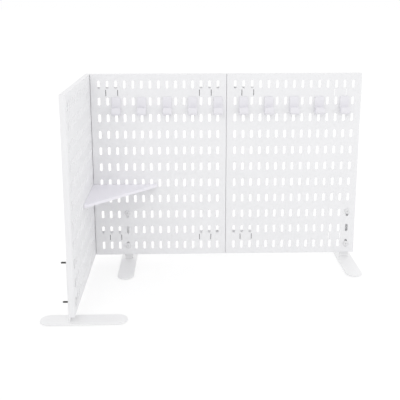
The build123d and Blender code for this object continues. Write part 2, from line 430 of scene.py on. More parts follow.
@dataclass(frozen=True)
class Strip:
    """A flat bar with softened edges that follows a path in the XY plane, with its width along Z."""

    width: float
    thickness: float
    corner: float
    style: Corner
    edge: float

    def section(self, centre: Vector, normal: Vector, half_width: float, inset: float) -> Loop:
        """Outline across the bar.

        Args:
            centre: Middle of the bar's thickness.
            normal: Direction of the thickness.
            half_width: Half of the width here.
            inset: How far the outline draws in from the surface.

        Returns:
            Twelve points around the bar.
        """
        thick = self.thickness / 2 - inset
        wide = half_width - inset
        soft = min(self.edge, thick * 0.9, wide * 0.9)
        part = soft * (1 - math.sqrt(0.5))
        quarter = ((thick, wide - soft), (thick - part, wide - part), (thick - soft, wide))
        points = []
        for across, up, order in ((1, 1, 1), (-1, 1, -1), (-1, -1, 1), (1, -1, -1)):
            points += [(across * t, up * w) for t, w in quarter[::order]]
        return [centre + normal * t + Vector((0, 0, w)) for t, w in points]

    def half_width_at(self, distance: float) -> float:
        """Half of the bar's width, which is less where its corners are cut.

        Args:
            distance: Distance from the nearer end.

        Returns:
            The half width there.
        """
        if distance >= self.corner or self.corner <= 0:
            return self.width / 2
        short = self.corner - distance
        if self.style is Corner.CLIPPED:
            return self.width / 2 - short
        return self.width / 2 - self.corner + math.sqrt(max(self.corner**2 - short**2, 0.0))

    def end_distances(self) -> list[float]:
        """Where the bar needs sections for its edge and its corners.

        Returns:
            Distances from an end, the end itself first.
        """
        soft = self.edge
        cuts = [0.0, soft * EDGE_STEP, soft]
        if self.corner <= soft:
            return cuts
        if self.style is Corner.CLIPPED:
            return [*cuts, self.corner]
        steps = [self.corner * (1 - math.cos(math.radians(angle))) for angle in (30, 50, 70, 90)]
        return cuts + [step for step in steps if step > soft * 1.2]

    def loops(self, path: Sequence[Vector], ends: tuple[bool, bool] = (True, True)) -> list[Loop]:
        """Sections all along a path.

        Args:
            path: Points in the XY plane; bends come as several short runs.
            ends: Whether the first and the last end have cut corners.

        Returns:
            The closed loops, ready to loft.
        """
        lengths = [0.0]
        for point, following in zip(path, path[1:]):
            lengths.append(lengths[-1] + (following - point).length)
        total = lengths[-1]
        cuts = self.end_distances()
        stops = {round(stop, 7) for stop in (*lengths, *cuts, *(total - cut for cut in cuts))}
        loops = []
        for stop in sorted(stops):
            centre, normal = self.along(path, lengths, stop)
            from_start = stop if ends[0] else self.corner + self.edge + stop
            from_end = total - stop if ends[1] else self.corner + self.edge + total - stop
            near = min(from_start, from_end)
            edge_distance = min(stop, total - stop)
            inset = 0.0
            if edge_distance < self.edge * 0.99:
                reach = self.edge - edge_distance
                inset = self.edge - math.sqrt(max(self.edge**2 - reach**2, 0.0))
            loops.append(self.section(centre, normal, self.half_width_at(near), inset))
        return loops

    @staticmethod
    def along(path: Sequence[Vector], lengths: Sequence[float], stop: float) -> tuple[Vector, Vector]:
        """Finds a point on a path.

        Args:
            path: The path's points.
            lengths: Each point's distance from the start.
            stop: The distance that is wanted.

        Returns:
            The point, and the direction across the path there.
        """
        index = max(0, min(len(path) - 2, sum(length <= stop + 1e-7 for length in lengths) - 1))
        run = path[index + 1] - path[index]
        centre = path[index] + run * ((stop - lengths[index]) / run.length)
        forward = run.normalized()
        if abs(stop - lengths[index]) < 1e-7 and index > 0:
            before = (path[index] - path[index - 1]).normalized()
            forward = (before + forward).normalized()
        return centre, Vector((-forward.y, forward.x, 0))


def arc(centre: Vector, radius: float, start: float, end: float, steps: int) -> list[Vector]:
    """Points on an arc in the XY plane, one more than its steps, between two angles in degrees."""
    angles = [math.radians(start + (end - start) * step / steps) for step in range(steps + 1)]
    return [centre + radius * Vector((math.cos(angle), math.sin(angle), 0)) for angle in angles]


def rounded_outline(corners: Corners, inset: float, height: float) -> Loop:
    """Outline of a flat convex shape, anticlockwise from above.

    Args:
        corners: Place and radius of each corner, anticlockwise.
        inset: How far the outline draws in.
        height: Its Z.

    Returns:
        Seven points for each corner, whatever the inset.
    """
    points = []
    count = len(corners)
    for index, (x, y, radius) in enumerate(corners):
        here = Vector((x, y, 0))
        before = here - Vector((*corners[index - 1][:2], 0))
        after = Vector((*corners[(index + 1) % count][:2], 0)) - here
        turn = before.angle(after)
        inner = max(radius - inset, 1e-5)
        bisector = (after.normalized() - before.normalized()).normalized()
        centre = here + bisector * ((inset + inner) / math.cos(turn / 2))
        outward = math.degrees(math.atan2(before.y, before.x)) - 90
        points += arc(centre, inner, outward, outward + math.degrees(turn), 6)
    for point in points:
        point.z = height
    return points


def oblong(half: float, front: float, rear: float, radius: float) -> Corners:
    """Place and radius of the corners of an outline that lies evenly about X = 0, anticlockwise."""
    return [(-half, front, radius), (half, front, radius), (half, rear, radius), (-half, rear, radius)]


def slab(corners: Corners, bottom: float, top: float, edge: float) -> list[Loop]:
    """Loops of a flat plate with softened edges.

    Args:
        corners: Place and radius of each corner, anticlockwise.
        bottom: Height of its underside.
        top: Height of its upper side.
        edge: Radius of its edges.

    Returns:
        The loops from the underside up.
    """
    part = edge * EDGE_STEP
    levels = (
        (edge, bottom), (part, bottom + part), (0.0, bottom + edge),
        (0.0, top - edge), (part, top - part), (edge, top),
    )
    return [rounded_outline(corners, inset, height) for inset, height in levels]


@dataclass(frozen=True)
class Tray:
    """A slotted panel: a face with flanges folded back and lips folded in, mitred at its corners."""

    width: float = 0.320
    height: float = 0.450
    depth: float = 0.012
    sheet: float = 0.0012
    bend: float = 0.0018
    bend_runs: int = 4
    lip: float = 0.008
    seam: float = 0.00015
    columns: int = 15
    rows: int = 11
    column_pitch: float = 0.020
    row_pitch: float = 0.040
    slot_width: float = 0.0065
    slot_length: float = 0.0195
    slot_edge: float = 0.00012
    join_width: float = 0.0018
    join_length: float = 0.0155
    pair_spacing: float = 0.028
    join_after_column: int = 2

    def column_x(self, column: int) -> float:
        """Distance of a column of slots from the left edge."""
        return (self.width - (self.columns - 1) * self.column_pitch) / 2 + (column - 1) * self.column_pitch

    def row_z(self, row: int) -> float:
        """Height of a row of slots above the lower edge."""
        return (self.height + (self.rows - 1) * self.row_pitch) / 2 - (row - 1) * self.row_pitch

    def join_middle(self) -> float:
        """Distance from an edge to the middle of the pair of narrow slots beside it."""
        return self.column_x(self.join_after_column) + self.column_pitch / 2

    def section(self) -> list[tuple[float, float, float, float, bool]]:
        """The folded edge's cross section.

        Returns:
            Outer and inner skin as distance from the side and depth, and whether the corner seam is open.
        """
        inner = self.bend - self.sheet
        stations = []
        for start, centre, is_open in ((0, self.bend, False), (90, self.depth - self.bend, True)):
            for step in range(self.bend_runs + 1):
                angle = math.radians(start + 90 * step / self.bend_runs)
                skins = []
                for radius in (self.bend, inner):
                    skins += [self.bend - radius * math.sin(angle), centre - radius * math.cos(angle)]
                stations.append((*skins, is_open))
        stations.append((self.lip, self.depth, self.lip, self.depth - self.sheet, True))
        return stations

    def edge_strip(self, work: Workpiece, length: float, place: Matrix) -> None:
        """Adds one folded edge along X, with its outer side at Z = 0 and its face at Y = 0.

        Args:
            work: The piece that it goes on.
            length: The panel's length along this edge.
            place: Where the edge goes.
        """
        stations = self.section()
        ends = []
        for is_right in (False, True):
            outer = []
            inner = []
            for out_in, out_depth, in_in, in_depth, is_open in stations:
                for skin, inset, depth in ((outer, out_in, out_depth), (inner, in_in, in_depth)):
                    margin = inset + (self.seam if is_open else 0.0)
                    x = length - margin if is_right else margin
                    skin.append(work.mesh.verts.new(place @ Vector((x, depth, inset))))
            ends.append((outer, inner))
        (left_outer, left_inner), (right_outer, right_inner) = ends
        last = len(stations) - 1
        faces = []
        for near, far in ((left_outer, right_outer), (left_inner, right_inner)):
            faces += [(near[index], far[index], far[index + 1], near[index + 1]) for index in range(last)]
        faces.append((left_outer[last], right_outer[last], right_inner[last], left_inner[last]))
        for outer, inner in ends:
            for index in range(self.bend_runs, last):
                faces.append((outer[index], outer[index + 1], inner[index + 1], inner[index]))
        work.cover(faces, PANEL_WHITE)

    def build(self, name: str, place: Matrix, face: Tree) -> None:
        """Makes one panel.

        Args:
            name: The CAD node that it stands for.
            place: From the panel's frame to the model's.
            face: The tree that makes the slotted face.
        """
        work = Workpiece(f"{name}_sheet")
        middle = Matrix.Translation((self.width / 2, 0, self.height / 2))
        upright = middle @ Matrix.Rotation(math.pi / 2, 4, "X")
        work.grow(face, PANEL_WHITE, place @ upright)
        for turn, length, start in (
            (0, self.width, (0, 0, 0)),
            (-90, self.height, (self.width, 0, 0)),
            (180, self.width, (self.width, 0, self.height)),
            (90, self.height, (0, 0, self.height)),
        ):
            side = Matrix.Translation(start) @ Matrix.Rotation(math.radians(turn), 4, "Y")
            self.edge_strip(work, length, place @ side)
        work.finished("divider", name)


class SlottedFace(Tree):
    """The tree of a panel's slotted face, in the XY plane round the origin, with its front towards +Z."""

    def __init__(self, tray: Tray, points: int = 18) -> None:
        """Builds the tree.

        Args:
            tray: The panel.
            points: Number of points round a slot.
        """
        super().__init__("slotted_face", {
            "Face Width": tray.width - 2 * tray.bend,
            "Face Height": tray.height - 2 * tray.bend,
            "Sheet": tray.sheet,
            "Slot Edge": tray.slot_edge,
            "Columns": tray.columns,
            "Rows": tray.rows,
            "Across": (tray.columns - 1) * tray.column_pitch,
            "Down": (tray.rows - 1) * tray.row_pitch,
            "Slot Width": tray.slot_width,
            "Slot Length": tray.slot_length,
            "Join Width": tray.join_width,
            "Join Length": tray.join_length,
            "Join Across": tray.width - 2 * tray.join_middle(),
            "Join Down": (tray.rows - 2) * tray.row_pitch,
            "Pair Spacing": tray.pair_spacing,
        })
        self.points = points
        wide, high, sheet, edge, columns, rows, across, down, slot_width, slot_length = self.sizes[:10]
        join_width, join_length, join_across, join_down, pair_spacing = self.sizes[10:]

        grids = (
            {"Size X": across, "Size Y": down, "Vertices X": columns, "Vertices Y": rows},
            {"Size X": join_across, "Size Y": join_down, "Vertices X": 2, "Vertices Y": 2},
        )
        slot_places, pair_places = (self.add("GeometryNodeMeshGrid", grid) for grid in grids)
        join_places = []
        for side in (-0.5, 0.5):
            move = self.add("ShaderNodeCombineXYZ", {0: self.math("MULTIPLY", pair_spacing, side)})
            moved = self.add("GeometryNodeTransform", {"Geometry": pair_places, "Translation": move})
            join_places.append(moved)
        all_join_places = self.add("GeometryNodeJoinGeometry", {"Geometry": join_places})

        outline = self.add("GeometryNodeCurvePrimitiveQuadrilateral", {"Width": wide, "Height": high})
        edges = [outline]
        walls = []
        twice = self.math("MULTIPLY", edge, 2.0)
        for places, width, length in (
            (slot_places, slot_width, slot_length),
            (all_join_places, join_width, join_length),
        ):
            ring = self.add("GeometryNodeMeshCircle", {"Vertices": points, "Radius": 1.0})
            hole = self.stadium(ring, self.math("ADD", width, twice), self.math("ADD", length, twice), 0.0)
            curve = self.add("GeometryNodeMeshToCurve", {"Mesh": hole})
            edges.append(self.add("GeometryNodeInstanceOnPoints", {"Points": places, "Instance": curve}))
            rim = self.rim(width, length, sheet, edge)
            walls.append(self.add("GeometryNodeInstanceOnPoints", {"Points": places, "Instance": rim}))
        joined = self.add("GeometryNodeJoinGeometry", {"Geometry": edges})
        lines = self.add("GeometryNodeRealizeInstances", {"Geometry": joined})
        front = self.add("GeometryNodeFillCurve", {"Curve": lines})
        backwards = self.add("ShaderNodeCombineXYZ", {2: self.math("MULTIPLY", sheet, -1.0)})
        moved = self.add("GeometryNodeTransform", {"Geometry": front, "Translation": backwards})
        rear = self.add("GeometryNodeFlipFaces", {"Mesh": moved})
        self.close(self.add("GeometryNodeJoinGeometry", {"Geometry": [front, rear, *walls]}))

    def stadium(self, geometry: Socket, width: Any, length: Any, depth: Any) -> Socket:
        """Shapes a circle or tube of radius 1 in the XY plane into a slot with round ends.

        Args:
            geometry: The circle or tube.
            width: The slot's width, along X.
            length: The slot's length, along Y.
            depth: Each point's Z.

        Returns:
            The shaped geometry.
        """
        half_step = math.pi / self.points
        turn = {"Geometry": geometry, "Rotation": (0.0, 0.0, half_step)}
        turned = self.add("GeometryNodeTransform", turn)
        x, y, _ = self.position()
        radius = self.math("MULTIPLY", width, 0.5)
        straight = self.math("MULTIPLY", self.math("SUBTRACT", length, width), 0.5)
        across = self.math("MULTIPLY", self.math("MULTIPLY", x, radius), 1 / math.cos(half_step))
        end = self.math("MULTIPLY", self.math("SIGN", y), straight)
        along = self.math("ADD", self.math("MULTIPLY", y, radius), end)
        target = self.add("ShaderNodeCombineXYZ", {0: across, 1: along, 2: depth})
        return self.add("GeometryNodeSetPosition", {"Geometry": turned, "Position": target})

    def rim(self, width: Any, length: Any, sheet: Any, edge: Any) -> Socket:
        """The wall of one slot, with its edges broken on both sides of the sheet.

        Args:
            width: The slot's width.
            length: The slot's length.
            sheet: The sheet's thickness.
            edge: Width of the broken edge.

        Returns:
            The wall, with its faces towards the slot.
        """
        size = {"Vertices": self.points, "Side Segments": 3, "Radius": 1.0, "Depth": 1.0}
        tube = self.add("GeometryNodeMeshCylinder", size, fill_type="NONE")
        z = self.position()[2]
        is_outer = self.math("GREATER_THAN", self.math("ABSOLUTE", z), 0.3)
        broken = self.math("MULTIPLY", is_outer, edge)
        wider = self.math("MULTIPLY", broken, 2.0)
        inner_reach = self.math("SUBTRACT", self.math("MULTIPLY", sheet, 0.5), edge)
        reach = self.math("MULTIPLY", self.math("SIGN", z), self.math("ADD", inner_reach, broken))
        depth = self.math("ADD", self.math("MULTIPLY", sheet, -0.5), reach)
        shaped = self.stadium(tube, self.math("ADD", width, wider), self.math("ADD", length, wider), depth)
        return self.add("GeometryNodeFlipFaces", {"Mesh": shaped})


@dataclass(frozen=True)
class Connectors:
    """Straps behind the panels, with tabs in the narrow slots of both panels that they join."""

    tray: Tray
    height: float = 0.025
    thickness: float = 0.003
    clip: float = 0.004
    tab_width: float = 0.0010
    tab_height: float = 0.0145
    tab_recess: float = 0.0008
    # How far back from a tab's end its dark grey painted shade reaches.
    painted_shade_length: float = 0.003
    tab_corner: float = 0.0006
    tab_edge: float = 0.0003
    tab_root: float = 0.0005
    edge: float = 0.0005
    gap: float = 0.0005
    reach: float = 0.0685

    def tab(self, work: Workpiece, x: float, z: float, place: Matrix) -> None:
        """Adds a tab through a narrow slot: painted white with its strap, and dark grey at the end as
        painted shade for the slot's dark inside.

        Args:
            work: The connector's piece.
            x: The slot's distance from the panel's left edge.
            z: Its height above the lower edge.
            place: From the panel's frame to the model's.
        """
        bar = Strip(self.tab_height, self.tab_width, self.tab_corner, Corner.ROUND, self.tab_edge)
        level = place @ Matrix.Translation((0, 0, z))
        depths = (self.tab_recess, self.tab_recess + self.painted_shade_length, self.tray.depth + self.tab_root)
        end, change, root = (Vector((x, depth, 0)) for depth in depths)
        # The tab's end is dark grey painted shade; the rest is white like its strap.
        work.loft(bar.loops([end, change]), TAB_END_PAINTED_SHADE, level)
        work.loft(bar.loops([change, root]), CONNECTOR_WHITE, level)

    def build(self, name: str, z: float, back_left: Matrix, side: Matrix | None) -> None:
        """Makes one connector.

        Args:
            name: The CAD node that it stands for.
            z: Its height above the panels' lower edge.
            back_left: Place of the back left panel.
            side: Place of the side panel, for a connector that goes round the corner.
        """
        work = Workpiece(f"{name}_strap")
        bar = Strip(self.height, self.thickness, self.clip, Corner.CLIPPED, self.edge)
        middle = self.tray.depth + self.thickness / 2
        half = self.tray.pair_spacing / 2
        centre = self.tray.join_middle()
        offsets = (centre - half, centre + half)
        width = self.tray.width
        if side is None:
            ends = (width - self.reach, width + self.gap + self.reach)
            path = [Vector((x, middle, 0)) for x in ends]
            for offset in offsets:
                self.tab(work, width - offset, z, back_left)
                self.tab(work, width + self.gap + offset, z, back_left)
        else:
            outer = middle + self.gap
            bend = self.thickness / 2
            turn = arc(Vector((-outer + bend, middle - bend, 0)), bend, 90, 180, 6)
            down = Vector((-outer, self.tray.depth - self.reach, 0))
            path = [Vector((self.reach, middle, 0)), *turn, down]
            for x in offsets:
                self.tab(work, x, z, back_left)
                self.tab(work, width - x, z, side)
        work.loft(bar.loops(path), CONNECTOR_WHITE, back_left @ Matrix.Translation((0, 0, z)))
        work.finished("divider", name)


def weld_tree(length: float, size: float, pitch: float) -> Tree:
    """Builds the tree of a weld bead: overlapping flat drops along a line, of uneven size.

    Args:
        length: The bead's length.
        size: The drops' radius.
        pitch: The distance between two drops.

    Returns:
        The tree, with the bead along X from the origin.
    """
    tree = Tree("weld_bead", {"Length": length, "Pitch": pitch, "Drop Size": size, "Seed": 0})
    span, step, radius, seed = tree.sizes
    far = tree.add("ShaderNodeCombineXYZ", {0: span})
    line = tree.add("GeometryNodeCurvePrimitiveLine", {"Start": (0.0, 0.0, 0.0), "End": far})
    points = tree.add("GeometryNodeCurveToPoints", {"Curve": line, "Length": step}, mode="LENGTH")
    drop = tree.add("GeometryNodeMeshUVSphere", {"Segments": 10, "Rings": 6, "Radius": radius})
    uneven = tree.add(
        "FunctionNodeRandomValue", {"Min": (0.9, 0.85, 0.85), "Max": (1.25, 1.1, 1.1), "Seed": seed},
        data_type="FLOAT_VECTOR",
    )
    drops = {"Points": points, "Instance": drop, "Scale": uneven}
    tree.close(tree.add("GeometryNodeInstanceOnPoints", drops))
    return tree


@dataclass(frozen=True)
class Foot:
    """A round-ended plate on two rubber pads, with a strip welded on it that stands behind the panel."""

    width: float = 0.038
    front_reach: float = 0.103
    rear_reach: float = 0.075
    thickness: float = 0.003
    upright_width: float = 0.0205
    upright_thickness: float = 0.003
    upright_clip: float = 0.005
    pad_size: float = 0.014
    pad_thickness: float = 0.0015
    pad_from_end: float = 0.022
    pad_corner: float = 0.002
    pad_edge: float = 0.0003
    plate_edge: float = 0.0007
    upright_edge: float = 0.0005
    bead: float = 0.0013
    # In beads: their spacing, what their row lacks of the strip's width, and how far back and up they lie.
    bead_pitch: float = 0.85
    bead_short: float = 3.0
    bead_back: float = 0.25
    bead_up: float = 0.1
    # Just under a half circle, so that two corners never meet in one point.
    end_roundness: float = 0.999

    def build(self, name: str, place: Matrix, depth: float, top: float) -> None:
        """Makes one foot: its plate, its strip with the weld beads at the bottom, and its two pads.

        Args:
            name: The foot's name.
            place: From the foot's frame, with the panel's face at Y = 0 and the desk at Z = 0.
            depth: The panel's depth, where the strip starts.
            top: Height of the strip's upper end.
        """
        plate_top = self.pad_thickness + self.thickness
        plate = Workpiece(f"{name}_foot_plate")
        half = self.width / 2
        outline = oblong(half, -self.front_reach, self.rear_reach, half * self.end_roundness)
        plate.loft(slab(outline, self.pad_thickness, plate_top, self.plate_edge), FOOT_WHITE, place)
        plate.finished("divider", f"{name}_foot_base")

        strip = Workpiece(f"{name}_foot_strip")
        thick = self.upright_thickness
        bar = Strip(self.upright_width, thick, self.upright_clip, Corner.CLIPPED, self.upright_edge)
        path = [Vector((plate_top, 0, 0)), Vector((top, 0, 0))]
        upright = Matrix.Translation((0, depth + thick / 2, 0)) @ STAND_UP
        strip.loft(bar.loops(path, ends=(False, True)), FOOT_WHITE, place @ upright)
        bead = self.bead
        length = self.upright_width - bead * self.bead_short
        shift = (-length / 2, depth + thick + bead * self.bead_back, plate_top + bead * self.bead_up)
        weld = weld_tree(length, bead, bead * self.bead_pitch)
        strip.grow(weld, FOOT_WHITE, place @ Matrix.Translation(shift))
        strip.finished("divider", f"{name}_foot_upright")

        rubbers = Workpiece(f"{name}_foot_rubbers")
        half = self.pad_size / 2
        for y in (self.pad_from_end - self.front_reach, self.rear_reach - self.pad_from_end):
            outline = oblong(half, y - half, y + half, self.pad_corner)
            rubbers.loft(slab(outline, 0.0, self.pad_thickness, self.pad_edge), PAD_BLACK, place)
        rubbers.finished("divider", f"{name}_foot_pads")


def thread_tree(radius: float, length: float, pitch: float, ridge: float) -> Tree:
    """Builds the tree of a screw thread: a ridge that winds round +Z.

    Args:
        radius: Radius of the core.
        length: The thread's length.
        pitch: The rise of one turn.
        ridge: Height of the ridge.

    Returns:
        The tree, with the thread's start at the origin.
    """
    turns = length / pitch
    tree = Tree("screw_thread", {"Radius": radius, "Length": length, "Turns": turns, "Ridge": ridge})
    core, rise, winds, bulge = tree.sizes
    winding = {"Rotations": winds, "Height": rise, "Start Radius": core, "End Radius": core}
    spiral = tree.add("GeometryNodeCurveSpiral", {"Resolution": 16, **winding})
    circle = {"Resolution": 4, "Radius": bulge}
    profile = tree.add("GeometryNodeCurvePrimitiveCircle", circle, mode="RADIUS")
    sweep = {"Curve": spiral, "Profile Curve": profile, "Fill Caps": True}
    tree.close(tree.add("GeometryNodeCurveToMesh", sweep))
    return tree


@dataclass(frozen=True)
class Bolts:
    """The feet's wide-headed bolts, with a hexagon socket and a blackened thread."""

    diameter: float = 0.004
    length: float = 0.027
    head_radius: float = 0.00725
    head_height: float = 0.0024
    # Share of the head's radius at each height above its seat.
    head_curve: tuple[tuple[float, float], ...] = (
        (1.0, 0.0002), (1.0, 0.0006), (0.975, 0.0010), (0.9, 0.0015),
        (0.75, 0.0020), (0.55, 0.0023), (0.38, 0.0024),
    )
    socket_rim: float = 0.0019
    socket: float = 0.00125
    socket_depth: float = 0.0014
    socket_cone: float = 0.0003
    socket_pole: float = 0.0001
    seat_relief: float = 0.00005
    edge: float = 0.0002
    point: float = 0.0008
    point_slope: float = 0.0006
    point_pole: float = 0.0003
    unthreaded: float = 0.0014
    pitch: float = 0.0007
    ridge: float = 0.00035
    ridge_play: float = 0.00001
    points: int = 36

    def ring(self, radius: float, height: float, hexagon: bool = False) -> Loop:
        """One loop round the bolt's axis, which is Z.

        Args:
            radius: The circle's radius, or half of the hexagon's width across flats.
            height: The loop's Z.
            hexagon: Whether it is a hexagon.

        Returns:
            The loop's points.
        """
        loop = []
        for index in range(self.points):
            angle = 2 * math.pi * index / self.points
            reach = radius
            if hexagon:
                reach /= math.cos((angle % (math.pi / 3)) - math.pi / 6)
            loop.append(Vector((math.cos(angle) * reach, math.sin(angle) * reach, height)))
        return loop

    def add_bolt(self, work: Workpiece, place: Matrix) -> None:
        """Adds one bolt, with the seat of its head at the origin and its head towards +Z.

        Args:
            work: The bolts' piece.
            place: Where it goes.
        """
        full = self.head_radius
        tall = self.head_height
        socket = self.socket
        bottom = tall - self.socket_depth
        seat = self.ring(full - self.edge, 0.0)
        dome = [self.ring(full * share, height) for share, height in self.head_curve]
        recess = [
            self.ring(socket + self.edge / 2, tall, True), self.ring(socket, tall - self.edge, True),
            self.ring(socket, bottom, True), self.ring(self.socket_pole, bottom - self.socket_cone),
        ]
        head = [seat, *dome, self.ring(self.socket_rim, tall), *recess]
        work.loft(head, BOLT_WHITE, place, capped=False)
        core = self.diameter / 2 - self.ridge
        shank = [
            seat, self.ring(core, -self.seat_relief), self.ring(core, self.point - self.length),
            self.ring(core - self.point_slope, -self.length), self.ring(self.point_pole, -self.length),
        ]
        work.loft(shank[:2], BOLT_WHITE, place, capped=False)
        work.loft(shank[1:], THREAD_DARK, place, capped=False)
        threaded = self.length - self.unthreaded
        crest = self.ridge - self.ridge_play
        thread = thread_tree(core, threaded - self.point_slope, self.pitch, crest)
        work.grow(thread, THREAD_DARK, place @ Matrix.Translation((0, 0, -threaded)))

    def build(self, places: Sequence[Matrix]) -> None:
        """Makes all of the bolts.

        Args:
            places: From each bolt's frame, with its head towards -Y, to the model's.
        """
        work = Workpiece("foot_bolt_set")
        lie_down = Matrix.Rotation(math.pi / 2, 4, "X")
        for place in places:
            self.add_bolt(work, place @ lie_down)
        work.finished("divider", "foot_bolts")


@dataclass(frozen=True)
class Hanger:
    """What hooks and shelf share: a tab that goes through a slot and drops behind the sheet."""

    slip: float = 0.0003
    sheet: float = 0.0012
    tab_thickness: float = 0.002
    tab_corner: float = 0.0008
    tab_edge: float = 0.0003
    neck_play: float = 0.0002
    neck_root: float = 0.0005

    def add_tab(
        self, work: Workpiece, finish: Finish, width: float, height: float, drop: float, place: Matrix
    ) -> None:
        """Adds a tab.

        Args:
            work: The piece that it goes on.
            finish: Its finish.
            width: Its width along X.
            height: Height of the neck in the slot.
            drop: How far the finger drops below the slot's lower end.
            place: From the frame whose origin is the slot's lower end on the face.
        """
        play = self.neck_play
        depth = self.sheet + self.slip + self.tab_thickness / 2
        neck = Strip(width - play, height - play, 0.0, Corner.ROUND, self.tab_edge)
        middle = self.slip + height / 2
        turn = Matrix(((0, 0, 1, 0), (1, 0, 0, 0), (0, 1, 0, 0), (0, 0, 0, 1)))
        path = [Vector((-self.slip - self.neck_root, middle, 0)), Vector((depth, middle, 0))]
        work.loft(neck.loops(path), finish, place @ turn)
        finger = Strip(width, self.tab_thickness, self.tab_corner, Corner.ROUND, self.tab_edge)
        path = [Vector((self.slip - drop, depth, 0)), Vector((self.slip + height, depth, 0))]
        work.loft(finger.loops(path), finish, place @ STAND_UP)


@dataclass(frozen=True)
class Hook(Hanger):
    """A wide J-shaped hook bent from one thickness."""

    width: float = 0.021
    height: float = 0.042
    wall: float = 0.0025
    throat: float = 0.012
    lip: float = 0.018
    above_slot: float = 0.00075
    corner: float = 0.0025
    edge: float = 0.0007
    lift: float = 0.007
    lift_to_free: float = 0.001

    def build(self, name: str, place: Matrix, slot_width: float, slot_length: float) -> None:
        """Makes one hook.

        Args:
            name: The CAD node and the body.
            place: From the frame whose origin is the slot's lower end on the face.
            slot_width: Width of the slot.
            slot_length: Length of the slot.
        """
        work = Workpiece(f"{name}_moulding")
        top = slot_length + self.above_slot
        bottom = top - self.height
        middle = -self.slip - self.wall / 2
        bend = (self.throat + self.wall) / 2
        turn = arc(Vector((bottom + bend + self.wall / 2, middle - bend, 0)), bend, 90, 270, 14)
        path = [Vector((top, middle, 0)), *turn, Vector((bottom + self.lip, middle - 2 * bend, 0))]
        bar = Strip(self.width, self.wall, self.corner, Corner.ROUND, self.edge)
        work.loft(bar.loops(path), HOOK_WHITE, place @ STAND_UP)
        neck = slot_length - 2 * self.slip - self.lift
        drop = self.lift - self.lift_to_free
        self.add_tab(work, HOOK_WHITE, slot_width - 2 * self.slip, neck, drop, place)
        work.finished(name, name)


@dataclass(frozen=True)
class Shelf(Hanger):
    """A triangular moulded shelf, hollow below, that hangs in the corner."""

    reach: float = 0.154
    nose: float = 0.0036
    nose_radius: float = 0.0015
    corner: float = 0.0012
    depth: float = 0.0065
    edge: float = 0.0007
    rim_edge: float = 0.0004
    inner_edge: float = 0.0003
    wall: float = 0.0025
    tab_width: float = 0.0026
    tab_drop: float = 0.006

    def build(self, name: str, corner: Matrix, tab_places: Sequence[Matrix]) -> None:
        """Makes the shelf.

        Args:
            name: The CAD node and the body.
            corner: From the frame whose origin is the shelf's rear corner, on its underside.
            tab_places: From the frame of each slot that it hangs in.
        """
        work = Workpiece(f"{name}_moulding")
        reach = self.reach
        corners = [
            (0.0, -reach, self.corner), (self.nose, -reach, self.nose_radius),
            (reach, -self.nose, self.nose_radius), (reach, 0.0, self.corner), (0.0, 0.0, self.corner),
        ]
        soft = self.edge
        part = soft * EDGE_STEP
        levels = (
            (self.wall, self.depth - self.wall), (self.wall, self.inner_edge),
            (self.wall - self.inner_edge, 0.0), (self.rim_edge, 0.0), (0.0, self.rim_edge),
            (0.0, self.depth - soft), (part, self.depth - part), (soft, self.depth),
        )
        loops = [rounded_outline(corners, inset, height) for inset, height in levels]
        work.loft(loops, SHELF_WHITE, corner)
        for place in tab_places:
            self.add_tab(work, SHELF_WHITE, self.tab_width, self.depth, self.tab_drop, place)
        work.finished(name, name)


